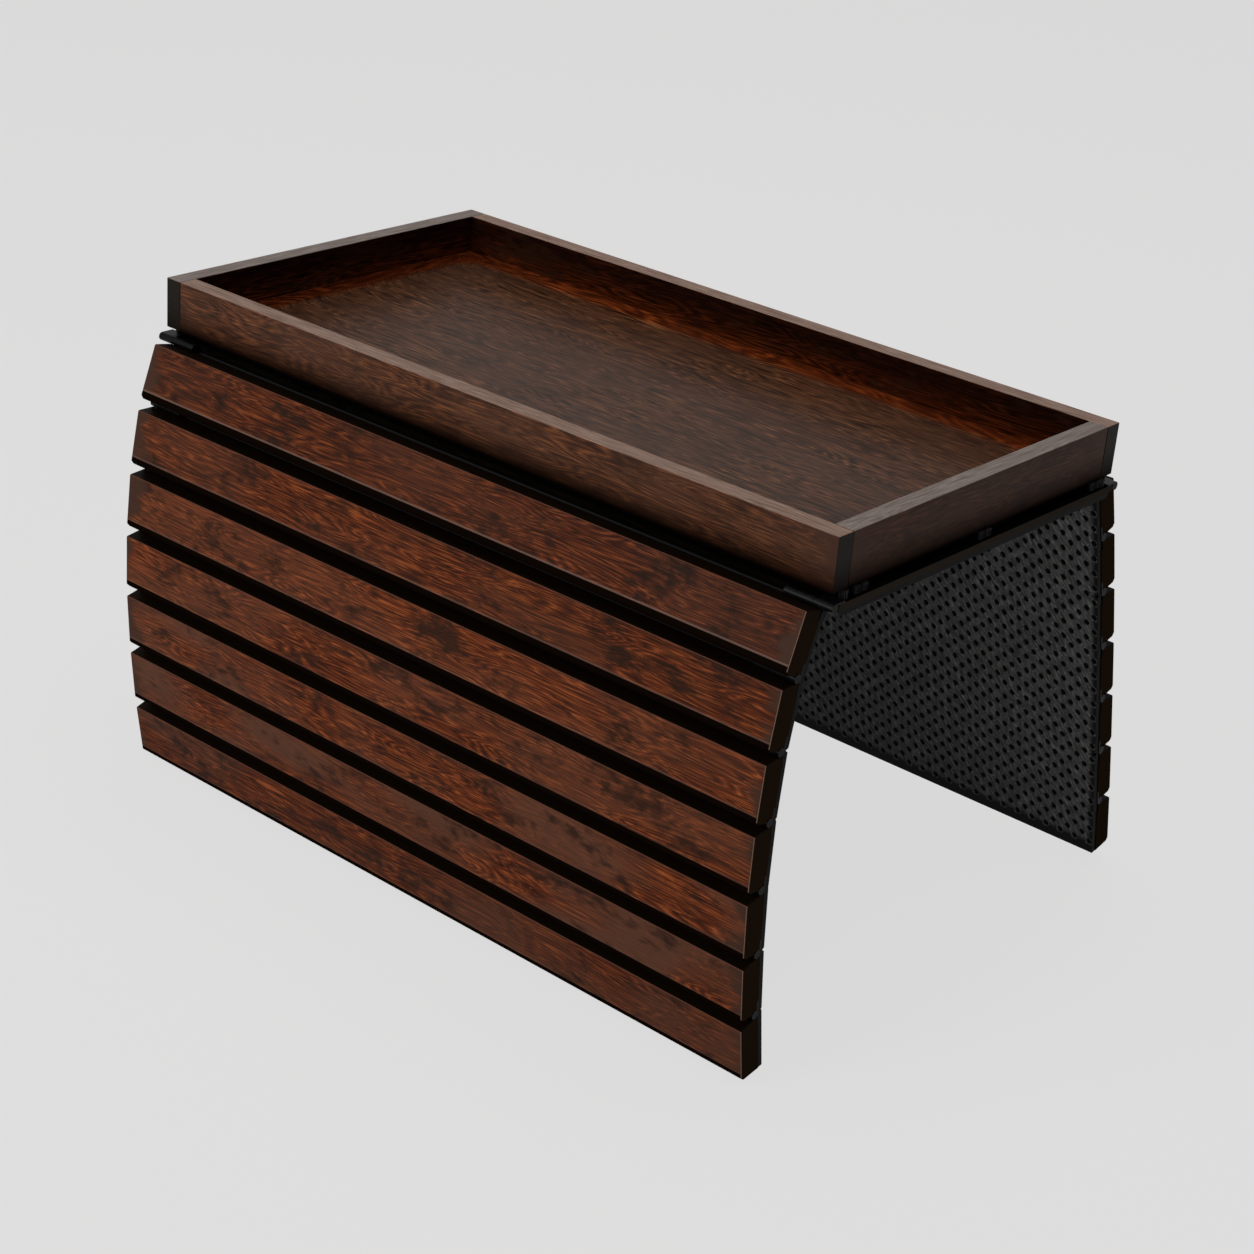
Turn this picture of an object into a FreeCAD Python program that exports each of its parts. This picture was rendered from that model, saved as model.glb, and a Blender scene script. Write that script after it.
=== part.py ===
import FreeCAD, Part
import os
import re
import Sketcher

# A tray for a sofa arm. A framed wooden tray is screwed to a thin base board, and a wing of seven
# hinged slats hangs from each long edge of the board, backed by a non-slip mat.
# X runs along the tray, Y across the sofa arm and Z up. The origin is the middle of the base mat's
# underside, which lies on the arm. Lengths are millimetres and angles are degrees.

DRIVING_SIZES = {
    # Tray frame
    "tray_length": 500,
    "tray_width": 258,
    "rail_height": 30.5,
    "rail_thickness": 12,
    "rail_round": 0.6,
    "floor_thickness": 5,
    "floor_inset": 8,
    "floor_end_inset": 4,
    "dowel_radius": 2,
    "dowel_length": 18,
    "liner_thickness": 0.6,
    "liner_lip": 0.8,
    "liner_edge": 0.5,
    "liner_corner_radius": 20,
    "cove_radius": 6,
    # Base under the tray
    "board_overhang": 3,
    "board_setback": 2,
    "board_thickness": 4,
    "board_round": 1.6,
    "mat_thickness": 3.5,
    "mat_inset": 0.5,
    "base_mat_inset": 1,
    "edge_clearance": 0.5,
    "bumper_length": 8,
    "bumper_depth": 5,
    "bumper_setback": 1,
    "standoff_radius": 2.6,
    "standoff_spacing": 10,
    "corner_setback": 10,
    # Slats, each in the frame of the hinge that carries it
    "slat_setback": 5,
    "slat_thickness": 14,
    "slat_pitch": 39,
    "slat_top_back": 2.2,
    "slat_top_front": 4.5,
    "slat_foot": 1,
    "slat_chamfer": 2,
    "slat_round": 0.8,
    "mat_gap": 1.25,
    # Hinges
    "barrel_radius": 2.5,
    "leaf_thickness": 1,
    "leaf_length": 8,
    "knuckle_length": 13,
    "board_knuckle_length": 12,
    "first_knuckle_length": 18,
    "knuckle_gap": 0.2,
    "hinge_clearance": 0.3,
    "pin_radius": 1,
    "fit_clearance": 0.05,
    # Screws
    "screw_radius": 0.8,
    "screw_head_radius": 1.6,
    "screw_head_height": 0.8,
    "leaf_screw_length": 7,
    "board_screw_length": 4.5,
    "frame_screw_length": 12,
    "tray_screw_length": 7.5,
    # One overrun for every cut that has to break through a face
    "cut_overrun": 1,
}

# How far each slat leans from upright at rest, its foot outwards, from the hinge on the board down
REST_TILTS = {
    "front": (19.5, 10, 4.5, 0.5, -3.5, -6, -9),
    "back": (18, 16.5, 15.5, 14.5, 14, 13.5, 12.5),
}
SLATS_PER_WING = len(REST_TILTS["front"])

# Places along a piece, as shares of its length
SIDE_SCREW_SHARES = (-0.36, 0, 0.36)
END_SCREW_SHARES = (-0.3, 0.3)
TRAY_SCREW_SHARES = (-0.3, 0, 0.3)
DOWEL_HEIGHT_SHARES = (0.3, 0.7)
LEAF_SCREW_SHARES = (0.25, 0.75)
LEAF_SCREW_REACH_SHARE = 0.65

sheet_values = dict(DRIVING_SIZES)
for wing, tilts in REST_TILTS.items():
    for number, tilt in enumerate(tilts, start=1):
        sheet_values[f"{wing}_tilt_{number}"] = tilt

doc = FreeCAD.newDocument("sofa_arm_tray")
sheet = doc.addObject("Spreadsheet::Sheet", "sizes")
for row, (alias, number) in enumerate(sheet_values.items(), start=1):
    sheet.set(f"A{row}", alias)
    sheet.set(f"B{row}", str(number))
    sheet.setAlias(f"B{row}", alias)
doc.recompute()

ALIAS = re.compile(r"\b(" + "|".join(sheet_values) + r")\b")
nodes = []


def bind(text):
    """The expression with every size name pointed at the sheet."""
    return ALIAS.sub(r"sizes.\1", text)


def size(text):
    """The present value of an expression of size names."""
    return float(sheet.evalExpression(text))


def place_text(x, y, z, turn="rotation(vector(1; 0; 0); 0)"):
    """A placement expression from three lengths and a turn."""
    return f"placement(vector({x}; {y}; {z}); {turn})"


def placement(text):
    """The present placement that a placement expression gives."""
    return sheet.evalExpression(text)


# Levels and outlines that several pieces share
BOARD_FOOT = "mat_thickness"
BOARD_TOP = "(mat_thickness + board_thickness)"
RAIL_FOOT = "(mat_thickness + board_thickness + floor_thickness)"
HALF_LENGTH = "tray_length / 2"
HALF_WIDTH = "tray_width / 2"
RAIL_INNER_X = "(tray_length / 2 - rail_thickness)"
RAIL_INNER_Y = "(tray_width / 2 - rail_thickness)"
RAIL_MIDDLE_X = "(tray_length / 2 - rail_thickness / 2)"
RAIL_MIDDLE_Y = "(tray_width / 2 - rail_thickness / 2)"
FLOOR_HALF_X = "(tray_length / 2 - floor_end_inset)"
FLOOR_HALF_Y = "(tray_width / 2 - floor_inset)"
FRAME_SCREW_X = "(tray_length / 2 - (rail_thickness + floor_end_inset) / 2)"
FRAME_SCREW_Y = "(tray_width / 2 - (rail_thickness + floor_inset) / 2)"
BOARD_HALF_X = "(tray_length / 2 + board_overhang)"
BOARD_HALF_Y = "(tray_width / 2 - board_setback)"
HINGE_OUT = f"({BOARD_HALF_Y} + edge_clearance + barrel_radius)"
HINGE_UP = f"({BOARD_TOP} + leaf_thickness - barrel_radius)"
SLAT_END = "(tray_length / 2 - slat_setback)"
HINGE_START = f"({SLAT_END} - 2 * knuckle_length - knuckle_gap)"
FIRST_KNUCKLE_START = f"({BOARD_HALF_X} - board_knuckle_length - knuckle_gap - first_knuckle_length)"
SLAT_FOOT = "(slat_pitch - slat_foot)"
UPSIDE_DOWN = "rotation(vector(0; 1; 0); 180)"


def new_body(label):
    """An empty body that becomes one node."""
    body = doc.addObject("PartDesign::Body", label)
    body.Label = label
    nodes.append(body)
    return body


def new_sketch(body, name, role, level="0"):
    """A sketch on one of the body's own planes, shifted along the plane's normal."""
    sketch = body.newObject("Sketcher::SketchObject", f"{body.Label}_{name}")
    plane = next(item for item in body.Origin.OriginFeatures if item.Role == role)
    sketch.AttachmentSupport = [(plane, "")]
    sketch.MapMode = "FlatFace"
    sketch.setExpression("AttachmentOffset.Base.z", bind(level))
    return sketch


def pin_point(sketch, curve, end, across, up):
    """Ties one point of a curve to two expressions measured from the sketch's origin."""
    for kind, text in (("DistanceX", across), ("DistanceY", up)):
        number = sketch.addConstraint(Sketcher.Constraint(kind, -1, 1, curve, end, size(text)))
        sketch.setExpression(f"Constraints[{number}]", bind(text))


def draw_outline(sketch, points):
    """A closed outline of straight lines through points given as pairs of expressions."""
    corners = [FreeCAD.Vector(size(across), size(up), 0) for across, up in points]
    first = sketch.GeometryCount
    count = len(corners)
    for index in range(count):
        sketch.addGeometry(Part.LineSegment(corners[index], corners[(index + 1) % count]), False)
    for index in range(count):
        following = first + (index + 1) % count
        sketch.addConstraint(Sketcher.Constraint("Coincident", first + index, 2, following, 1))
    for index, (across, up) in enumerate(points):
        pin_point(sketch, first + index, 1, across, up)


def draw_rectangle(sketch, left, right, low, high):
    """A rectangle between four expressions."""
    draw_outline(sketch, [(left, low), (right, low), (right, high), (left, high)])


def draw_circle(sketch, across, up, radius):
    """A circle with its centre and radius tied to expressions."""
    centre = FreeCAD.Vector(size(across), size(up), 0)
    curve = sketch.addGeometry(Part.Circle(centre, FreeCAD.Vector(0, 0, 1), size(radius)), False)
    pin_point(sketch, curve, 3, across, up)
    number = sketch.addConstraint(Sketcher.Constraint("Radius", curve, size(radius)))
    sketch.setExpression(f"Constraints[{number}]", bind(radius))


def add_pad(body, sketch, length, symmetric=False):
    """Extrudes the sketch, to one side or evenly to both."""
    pad = body.newObject("PartDesign::Pad", f"{sketch.Name}_pad")
    pad.Profile = sketch
    pad.SideType = "Symmetric" if symmetric else "One side"
    pad.setExpression("Length", bind(length))
    doc.recompute()
    return pad


def add_pocket(body, sketch, depth, reverse=False):
    """Cuts the sketch into the body and makes sure that it removed material."""
    before = body.Shape.Volume
    pocket = body.newObject("PartDesign::Pocket", f"{sketch.Name}_pocket")
    pocket.Profile = sketch
    pocket.Reversed = reverse
    pocket.setExpression("Length", bind(depth))
    doc.recompute()
    if body.Shape.Volume >= before:
        raise RuntimeError(f"{pocket.Name} removed nothing")
    return pocket


def add_fillet(body, base, wanted, radius):
    """Rounds the edges of the base feature that the wanted test picks."""
    fillet = body.newObject("PartDesign::Fillet", f"{base.Name}_fillet")
    names = [f"Edge{number}" for number, edge in enumerate(base.Shape.Edges, start=1) if wanted(edge)]
    fillet.Base = (base, names)
    fillet.setExpression("Radius", bind(radius))
    doc.recompute()
    return fillet


def add_primitive(kind, name, place, **lengths):
    """A solid primitive with its lengths and its place tied to expressions."""
    solid = doc.addObject(f"Part::{kind}", name)
    for key, text in lengths.items():
        solid.setExpression(key, bind(text))
    solid.setExpression("Placement", bind(place))
    return solid


def add_group(label, members):
    """Separate solids of one kind, kept as one node."""
    group = doc.addObject("Part::Compound", label)
    group.Label = label
    group.Links = members
    nodes.append(group)
    return group


def add_copies(label, copies, place):
    """Copies of finished hardware shapes as one node, given as pairs of a pattern and a placement."""
    solids = []
    for pattern, where in copies:
        solid = pattern.Shape.copy()
        solid.Placement = placement(where).multiply(solid.Placement)
        solids.append(solid)
    node = doc.addObject("Part::Feature", label)
    node.Label = label
    node.Shape = Part.makeCompound(solids)
    node.setExpression("Placement", bind(place))
    nodes.append(node)
    return node


# Hardware patterns, made once and copied into the hinge sets and the screw sets.
# A leaf's own frame has its knuckle along X from zero, its plate hanging down -Z, and the face that
# carries the screw heads towards +Y.


def make_screw(name, length):
    """A countersunk wood screw, its head level with the origin and its tip towards -Y."""
    turn = "rotation(vector(1; 0; 0); 90)"
    head = add_primitive("Cone", f"{name}_head", place_text(0, 0, 0, turn),
                         Radius1="screw_head_radius", Radius2="screw_radius", Height="screw_head_height")
    shank = add_primitive("Cylinder", f"{name}_shank", place_text(0, 0, 0, turn),
                          Radius="screw_radius", Height=length)
    screw = doc.addObject("Part::Fuse", name)
    screw.Base = head
    screw.Tool = shank
    return screw


def make_leaf(name, knuckle):
    """A hinge leaf with one knuckle, drilled for its pin and countersunk for its screws."""
    along_x = "rotation(vector(0; 1; 0); 90)"
    into_leaf = "rotation(vector(1; 0; 0); 90)"
    plate_corner = place_text(0, "barrel_radius - leaf_thickness", "-leaf_length")
    plate = add_primitive("Box", f"{name}_plate", plate_corner,
                          Length=knuckle, Width="leaf_thickness", Height="leaf_length")
    barrel = add_primitive("Cylinder", f"{name}_barrel", place_text(0, 0, 0, along_x),
                           Radius="barrel_radius", Height=knuckle)
    blank = doc.addObject("Part::MultiFuse", f"{name}_blank")
    blank.Shapes = [plate, barrel]
    cutters = [add_primitive("Cylinder", f"{name}_bore", place_text("-cut_overrun", 0, 0, along_x),
                             Radius="pin_radius + fit_clearance", Height=f"{knuckle} + 2 * cut_overrun")]
    for number, share in enumerate(LEAF_SCREW_SHARES, start=1):
        across = f"{knuckle} * {share}"
        down = f"-leaf_length * {LEAF_SCREW_REACH_SHARE}"
        cutters.append(add_primitive(
            "Cone", f"{name}_countersink_{number}", place_text(across, "barrel_radius", down, into_leaf),
            Radius1="screw_head_radius + fit_clearance", Radius2="screw_radius + fit_clearance",
            Height="screw_head_height + fit_clearance"))
        cutters.append(add_primitive(
            "Cylinder", f"{name}_hole_{number}", place_text(across, "barrel_radius", down, into_leaf),
            Radius="screw_radius + fit_clearance", Height="leaf_thickness + cut_overrun"))
    tool = doc.addObject("Part::MultiFuse", f"{name}_tool")
    tool.Shapes = cutters
    leaf = doc.addObject("Part::Cut", name)
    leaf.Base = blank
    leaf.Tool = tool
    return leaf


def make_pin(name, length):
    """A plain hinge pin along X from zero."""
    return add_primitive("Cylinder", name, place_text(0, 0, 0, "rotation(vector(0; 1; 0); 90)"),
                         Radius="pin_radius", Height=length)


slat_leaf = make_leaf("slat_leaf", "knuckle_length")
first_leaf = make_leaf("first_leaf", "first_knuckle_length")
board_leaf = make_leaf("board_leaf", "board_knuckle_length")
slat_pin = make_pin("slat_pin", "2 * knuckle_length + knuckle_gap")
board_pin = make_pin("board_pin", "board_knuckle_length + knuckle_gap + first_knuckle_length")
leaf_screw = make_screw("leaf_screw", "leaf_screw_length")
board_leaf_screw = make_screw("board_leaf_screw", "board_screw_length")
frame_screw = make_screw("frame_screw", "frame_screw_length")
tray_screw = make_screw("tray_screw", "tray_screw_length")
doc.recompute()


# Tray frame. The left rail runs the full width. The long rails run from it through to the right end
# and hold the right rail between them.


def frame_screw_places():
    """Plan positions of the screws that hold the floor up to the rails, rail by rail."""
    along = [f"tray_length * {share}" for share in SIDE_SCREW_SHARES]
    across = [f"tray_width * {share}" for share in END_SCREW_SHARES]
    return {
        "front_rail": [(x, f"-{FRAME_SCREW_Y}") for x in along],
        "back_rail": [(x, FRAME_SCREW_Y) for x in along],
        "left_rail": [(f"-{FRAME_SCREW_X}", y) for y in across],
        "right_rail": [(FRAME_SCREW_X, y) for y in across],
    }


def tray_screw_places():
    """Plan positions of the screws that hold the base board up to the tray floor."""
    return [(f"tray_length * {x}", f"tray_width * {y}")
            for x in TRAY_SCREW_SHARES for y in END_SCREW_SHARES]


def make_rail(label, left, right, low, high):
    """A straight rail with eased edges, drilled from below for the floor screws."""
    rail = new_body(label)
    outline = new_sketch(rail, "plan", "XY_Plane")
    draw_rectangle(outline, left, right, low, high)
    pad = add_pad(rail, outline, "rail_height")
    add_fillet(rail, pad, lambda edge: True, "rail_round")
    holes = new_sketch(rail, "floor_holes", "XY_Plane")
    for x, y in frame_screw_places()[label]:
        draw_circle(holes, x, y, "screw_radius + fit_clearance")
    add_pocket(rail, holes, "frame_screw_length - floor_thickness + cut_overrun", reverse=True)
    rail.setExpression("Placement", bind(place_text(0, 0, RAIL_FOOT)))
    return rail


def drill_rail(rail, name, role, level, across, reverse):
    """Two dowel holes, one above the other, into a face of the rail."""
    holes = new_sketch(rail, name, role, level)
    for share in DOWEL_HEIGHT_SHARES:
        draw_circle(holes, across, f"rail_height * {share}", "dowel_radius + fit_clearance")
    add_pocket(rail, holes, "dowel_length / 2 + fit_clearance", reverse)


LEFT = f"-{HALF_LENGTH}"
LEFT_INNER = f"-{RAIL_INNER_X}"
front_rail = make_rail("front_rail", LEFT_INNER, HALF_LENGTH, f"-{HALF_WIDTH}", f"-{RAIL_INNER_Y}")
back_rail = make_rail("back_rail", LEFT_INNER, HALF_LENGTH, RAIL_INNER_Y, HALF_WIDTH)
left_rail = make_rail("left_rail", LEFT, LEFT_INNER, f"-{HALF_WIDTH}", HALF_WIDTH)
right_rail = make_rail("right_rail", RAIL_INNER_X, HALF_LENGTH, f"-{RAIL_INNER_Y}", RAIL_INNER_Y)

for rail, side in ((front_rail, "-"), (back_rail, "")):
    middle_y = f"{side}{RAIL_MIDDLE_Y}"
    drill_rail(rail, "left_dowels", "YZ_Plane", LEFT_INNER, middle_y, True)
    drill_rail(left_rail, f"{rail.Label}_dowels", "YZ_Plane", LEFT_INNER, middle_y, False)
drill_rail(front_rail, "right_dowels", "XZ_Plane", RAIL_INNER_Y, RAIL_MIDDLE_X, True)
drill_rail(right_rail, "front_dowels", "XZ_Plane", RAIL_INNER_Y, RAIL_MIDDLE_X, False)
drill_rail(back_rail, "right_dowels", "XZ_Plane", f"-{RAIL_INNER_Y}", RAIL_MIDDLE_X, False)
drill_rail(right_rail, "back_dowels", "XZ_Plane", f"-{RAIL_INNER_Y}", RAIL_MIDDLE_X, True)


def make_dowels():
    """Plain dowels across the four butt joints, half in each rail."""
    dowels = []
    for side in ("-", ""):
        for share in DOWEL_HEIGHT_SHARES:
            up = f"{RAIL_FOOT} + rail_height * {share}"
            number = len(dowels) + 1
            dowels.append(add_primitive(
                "Cylinder", f"dowel_{number}",
                place_text(f"{LEFT_INNER} - dowel_length / 2", f"{side}{RAIL_MIDDLE_Y}", up,
                           "rotation(vector(0; 1; 0); 90)"),
                Radius="dowel_radius", Height="dowel_length"))
            dowels.append(add_primitive(
                "Cylinder", f"dowel_{number + 1}",
                place_text(RAIL_MIDDLE_X, f"{side}{RAIL_INNER_Y} + dowel_length / 2", up,
                           "rotation(vector(1; 0; 0); 90)"),
                Radius="dowel_radius", Height="dowel_length"))
    return add_group("corner_dowels", dowels)


make_dowels()


def make_tray_floor():
    """The floor panel, set in under the rails so that a shadow gap runs round the tray."""
    floor = new_body("tray_floor")
    plan = new_sketch(floor, "plan", "XY_Plane")
    draw_rectangle(plan, f"-{FLOOR_HALF_X}", FLOOR_HALF_X, f"-{FLOOR_HALF_Y}", FLOOR_HALF_Y)
    add_pad(floor, plan, "floor_thickness")
    frame_places = [place for places in frame_screw_places().values() for place in places]
    holes = new_sketch(floor, "frame_holes", "XY_Plane")
    for x, y in frame_places:
        draw_circle(holes, x, y, "screw_radius + fit_clearance")
    add_pocket(floor, holes, "floor_thickness + cut_overrun", reverse=True)
    heads = new_sketch(floor, "frame_heads", "XY_Plane")
    for x, y in frame_places:
        draw_circle(heads, x, y, "screw_head_radius + fit_clearance")
    add_pocket(floor, heads, "screw_head_height + fit_clearance", reverse=True)
    pilots = new_sketch(floor, "tray_holes", "XY_Plane")
    for x, y in tray_screw_places():
        draw_circle(pilots, x, y, "screw_radius + fit_clearance")
    add_pocket(floor, pilots, "tray_screw_length - board_thickness + fit_clearance", reverse=True)
    floor.setExpression("Placement", bind(place_text(0, 0, BOARD_TOP)))


make_tray_floor()


def make_tray_liner():
    """The thin liner on the floor, coved up to the rails and rounded in its corners."""
    liner = new_body("tray_liner")
    plan = new_sketch(liner, "plan", "XY_Plane")
    draw_rectangle(plan, LEFT_INNER, RAIL_INNER_X, f"-{RAIL_INNER_Y}", RAIL_INNER_Y)
    add_pad(liner, plan, "liner_thickness + cove_radius + liner_edge")
    well = new_sketch(liner, "well", "XY_Plane", "liner_thickness")
    well_x = f"({RAIL_INNER_X} - liner_lip)"
    well_y = f"({RAIL_INNER_Y} - liner_lip)"
    draw_rectangle(well, f"-{well_x}", well_x, f"-{well_y}", well_y)
    cut = add_pocket(liner, well, "cove_radius + liner_edge + cut_overrun", reverse=True)
    inside = size(f"{RAIL_INNER_X} - liner_lip / 2")
    low = size("liner_thickness / 2")
    high = size("liner_thickness + cove_radius / 2")

    def well_corner(edge):
        ends = [vertex.Point for vertex in edge.Vertexes]
        return ends[0].z != ends[-1].z and all(abs(end.x) < inside for end in ends)

    def well_foot(edge):
        return all(low < vertex.Point.z < high for vertex in edge.Vertexes)

    rounded = add_fillet(liner, cut, well_corner, "liner_corner_radius")
    add_fillet(liner, rounded, well_foot, "cove_radius")
    liner.setExpression("Placement", bind(place_text(0, 0, RAIL_FOOT)))


make_tray_liner()

POINT_UP = "rotation(vector(1; 0; 0); -90)"
add_copies("frame_screws",
           [(frame_screw, place_text(x, y, 0, POINT_UP)) for places in frame_screw_places().values()
            for x, y in places],
           place_text(0, 0, BOARD_TOP))
add_copies("tray_screws",
           [(tray_screw, place_text(x, y, 0, POINT_UP)) for x, y in tray_screw_places()],
           place_text(0, 0, BOARD_FOOT))


# Base board and its mat


def board_leaf_start(side):
    """Where the board's knuckle starts along X at the left or the right end."""
    return f"-{BOARD_HALF_X}" if side < 0 else f"{BOARD_HALF_X} - board_knuckle_length"


def board_leaf_screw_places():
    """Plan positions of the screws through the board's hinge leaves."""
    places = []
    for side in (-1, 1):
        for share in LEAF_SCREW_SHARES:
            across = f"{board_leaf_start(side)} + board_knuckle_length * {share}"
            reach = f"({HINGE_OUT} - leaf_length * {LEAF_SCREW_REACH_SHARE})"
            places.append((across, f"-{reach}"))
            places.append((across, reach))
    return places


def make_base_board():
    """The thin board that carries the tray and the hinges, its long edges rounded over."""
    board = new_body("base_board")
    plan = new_sketch(board, "plan", "XY_Plane")
    draw_rectangle(plan, f"-{BOARD_HALF_X}", BOARD_HALF_X, f"-{BOARD_HALF_Y}", BOARD_HALF_Y)
    pad = add_pad(board, plan, "board_thickness")
    add_fillet(board, pad, lambda edge: abs(edge.tangentAt(edge.FirstParameter).x) > abs(
        edge.tangentAt(edge.FirstParameter).y), "board_round")
    holes = new_sketch(board, "screw_holes", "XY_Plane")
    for x, y in board_leaf_screw_places() + tray_screw_places():
        draw_circle(holes, x, y, "screw_radius + fit_clearance")
    add_pocket(board, holes, "board_thickness + cut_overrun", reverse=True)
    heads = new_sketch(board, "screw_heads", "XY_Plane")
    for x, y in tray_screw_places():
        draw_circle(heads, x, y, "screw_head_radius + fit_clearance")
    add_pocket(board, heads, "screw_head_height + fit_clearance", reverse=True)
    board.setExpression("Placement", bind(place_text(0, 0, BOARD_FOOT)))


def make_base_mat():
    """The non-slip mat under the board, mitred along its long edges where the wings fold down."""
    mat = new_body("base_mat")
    section = new_sketch(mat, "section", "YZ_Plane")
    foot = f"({BOARD_HALF_Y} - mat_thickness)"
    draw_outline(section, [(f"-{foot}", "0"), (foot, "0"), (BOARD_HALF_Y, "mat_thickness"),
                           (f"-{BOARD_HALF_Y}", "mat_thickness")])
    add_pad(mat, section, f"2 * ({BOARD_HALF_X} - base_mat_inset)", symmetric=True)


def make_bumpers():
    """Rubber blocks between the board and the end rails: one in the middle, one near each corner."""
    bumpers = []
    reach = f"({HALF_WIDTH} - corner_setback - standoff_spacing)"
    for end in ("-", ""):
        for middle in (f"-{reach}", "0", reach):
            x = f"{end}({HALF_LENGTH} - bumper_setback) - bumper_depth / 2"
            corner = place_text(x, f"{middle} - bumper_length / 2", BOARD_TOP)
            bumpers.append(add_primitive(
                "Box", f"bumper_{len(bumpers) + 1}", corner,
                Length="bumper_depth", Width="bumper_length", Height="floor_thickness"))
    return add_group("tray_bumpers", bumpers)


def make_standoffs():
    """Round spacers under the four corners of the frame."""
    standoffs = []
    for end in ("-", ""):
        for side in ("-", ""):
            x = f"{end}({HALF_LENGTH} - bumper_setback)"
            y = f"{side}({HALF_WIDTH} - corner_setback)"
            standoffs.append(add_primitive(
                "Cylinder", f"standoff_{len(standoffs) + 1}", place_text(x, y, BOARD_TOP),
                Radius="standoff_radius", Height="floor_thickness"))
    return add_group("tray_standoffs", standoffs)


make_base_board()
make_base_mat()
make_bumpers()
make_standoffs()


# Wings. A slat's own frame has its hinge axis along X at the origin, the slat hanging down -Z, its
# face towards -Y and its mat towards +Y. The back wing is the same slat turned half round.


def slat_place(wing, number):
    """The placement of a slat, at the foot of the slats above it."""
    tilts = [f"{wing}_tilt_{index}" for index in range(1, number + 1)]
    out = " + ".join([HINGE_OUT] + [f"slat_pitch * sin({tilt})" for tilt in tilts[:-1]])
    down = " - ".join([HINGE_UP] + [f"slat_pitch * cos({tilt})" for tilt in tilts[:-1]])
    lean = f"rotation(vector(1; 0; 0); -{tilts[-1]})"
    if wing == "front":
        return place_text(0, f"-({out})", down, lean)
    return place_text(0, out, down, f"rotation(vector(0; 0; 1); 180) * {lean}")


def top_leaf_starts(number):
    """Where the knuckles at the head of a slat start along X, left then right."""
    if number == 1:
        return [f"-{FIRST_KNUCKLE_START} - first_knuckle_length", FIRST_KNUCKLE_START]
    return [f"-{HINGE_START} - knuckle_length", HINGE_START]


def foot_leaf_starts():
    """Where the knuckles at the foot of a slat start along X, left then right."""
    return [f"-{SLAT_END}", f"{SLAT_END} - knuckle_length"]


def slat_screw_places(number):
    """Screw positions on the back of a slat, as distances along X and up Z."""
    knuckle = "first_knuckle_length" if number == 1 else "knuckle_length"
    reach = f"leaf_length * {LEAF_SCREW_REACH_SHARE}"
    places = [(f"{start} + {knuckle} * {share}", f"-{reach}")
              for start in top_leaf_starts(number) for share in LEAF_SCREW_SHARES]
    if number < SLATS_PER_WING:
        places += [(f"{start} + knuckle_length * {share}", f"{reach} - slat_pitch")
                   for start in foot_leaf_starts() for share in LEAF_SCREW_SHARES]
    return places


def mortise_spans(start):
    """The stretches along X that the hinge mortises take at both ends of a slat."""
    inner = f"({start} - hinge_clearance)"
    outer = f"({SLAT_END} + cut_overrun)"
    return ((f"-{outer}", f"-{inner}"), (inner, outer))


def make_slat(wing, number):
    """A slat with a sloped top edge, a chamfered foot, and hinge mortises at both ends."""
    slat = new_body(f"{wing}_slat_{number}")
    section = new_sketch(slat, "section", "YZ_Plane")
    face = "(barrel_radius - slat_thickness)"
    draw_outline(section, [
        ("barrel_radius", "-slat_top_back"), (face, "-slat_top_front"),
        (face, f"slat_chamfer - {SLAT_FOOT}"), (f"{face} + slat_chamfer", f"-{SLAT_FOOT}"),
        ("barrel_radius", f"-{SLAT_FOOT}")])
    pad = add_pad(slat, section, f"2 * {SLAT_END}", symmetric=True)
    back_margin = size("barrel_radius - slat_round")

    def off_the_back(edge):
        return any(vertex.Point.y < back_margin for vertex in edge.Vertexes)

    add_fillet(slat, pad, off_the_back, "slat_round")
    notch = new_sketch(slat, "knuckle_notch", "XZ_Plane", "-barrel_radius")
    seat = new_sketch(slat, "leaf_seat", "XZ_Plane", "-barrel_radius")
    head_start = FIRST_KNUCKLE_START if number == 1 else HINGE_START
    for left, right in mortise_spans(head_start):
        draw_rectangle(notch, left, right, "-barrel_radius - hinge_clearance", "0")
        draw_rectangle(seat, left, right, "-leaf_length - fit_clearance", "0")
    if number < SLATS_PER_WING:
        for left, right in mortise_spans(HINGE_START):
            notch_top = "barrel_radius + hinge_clearance - slat_pitch"
            draw_rectangle(notch, left, right, "-slat_pitch", notch_top)
            draw_rectangle(seat, left, right, "-slat_pitch", "leaf_length + fit_clearance - slat_pitch")
    add_pocket(slat, notch, "2 * barrel_radius + hinge_clearance", reverse=True)
    add_pocket(slat, seat, "leaf_thickness", reverse=True)
    holes = new_sketch(slat, "screw_holes", "XZ_Plane", "-barrel_radius")
    for across, up in slat_screw_places(number):
        draw_circle(holes, across, up, "screw_radius + fit_clearance")
    add_pocket(slat, holes, "leaf_screw_length + fit_clearance", reverse=True)
    slat.setExpression("Placement", bind(slat_place(wing, number)))


def make_slat_mat(wing, number):
    """The strip of non-slip mat on the back of a slat, mitred at the head of the first slat."""
    mat = new_body(f"{wing}_mat_{number}")
    section = new_sketch(mat, "section", "YZ_Plane")
    skin = "(barrel_radius + mat_thickness)"
    head = ("mat_gap", "mat_gap")
    if number == 1:
        head = ("(barrel_radius + edge_clearance)", "(barrel_radius + edge_clearance + mat_thickness)")
    draw_outline(section, [
        ("barrel_radius", f"-{head[0]}"), ("barrel_radius", "mat_gap - slat_pitch"),
        (skin, "mat_gap - slat_pitch"), (skin, f"-{head[1]}")])
    add_pad(mat, section, f"2 * ({SLAT_END} - mat_inset)", symmetric=True)
    mat.setExpression("Placement", bind(slat_place(wing, number)))


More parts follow.
